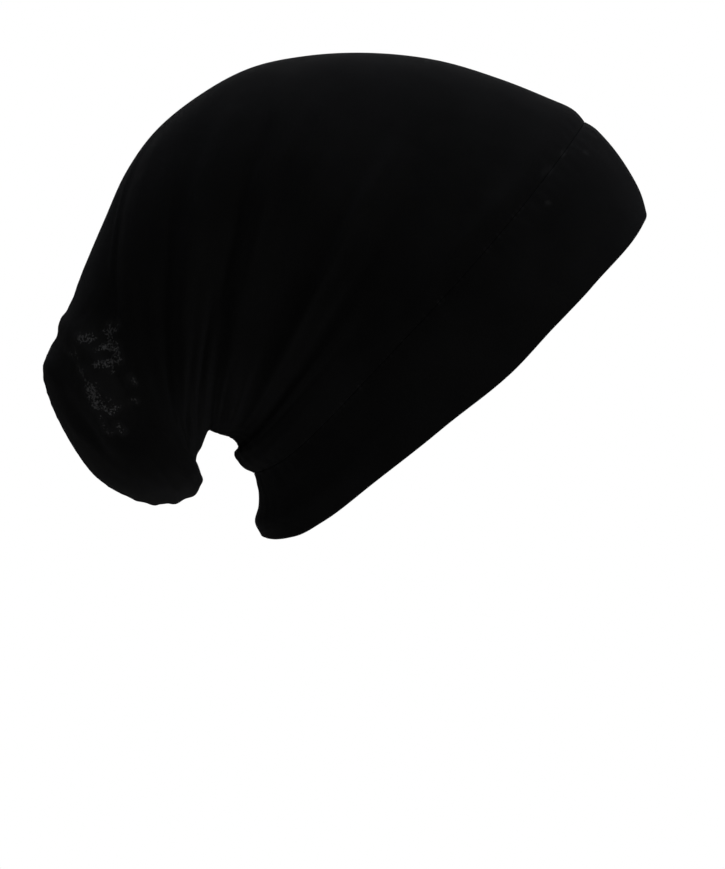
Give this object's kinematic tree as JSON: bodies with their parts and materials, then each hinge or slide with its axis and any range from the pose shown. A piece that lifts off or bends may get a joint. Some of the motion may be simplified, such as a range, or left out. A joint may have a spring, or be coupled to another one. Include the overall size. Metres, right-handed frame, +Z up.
{
  "type": "cotton cap",
  "caption": "Black stretch-jersey under-scarf cap in its worn form: a smooth crown, a doubled band round face and nape, and a slack tail behind the neck.",
  "frame": {"origin": "where the inside of the crown sits on the top of the wearer's head, in the middle plane", "axes": "+X towards the wearer's face, +Y towards the wearer's left, +Z up"},
  "size_m": [0.2615, 0.159, 0.2108],
  "materials": {
    "crown_jersey": "matte cotton jersey, one layer",
    "band_jersey": "matte cotton jersey, folded double"
  },
  "bodies": {
    "root": {"crown": "crown_jersey", "face_band": "band_jersey"}
  },
  "joints": []
}
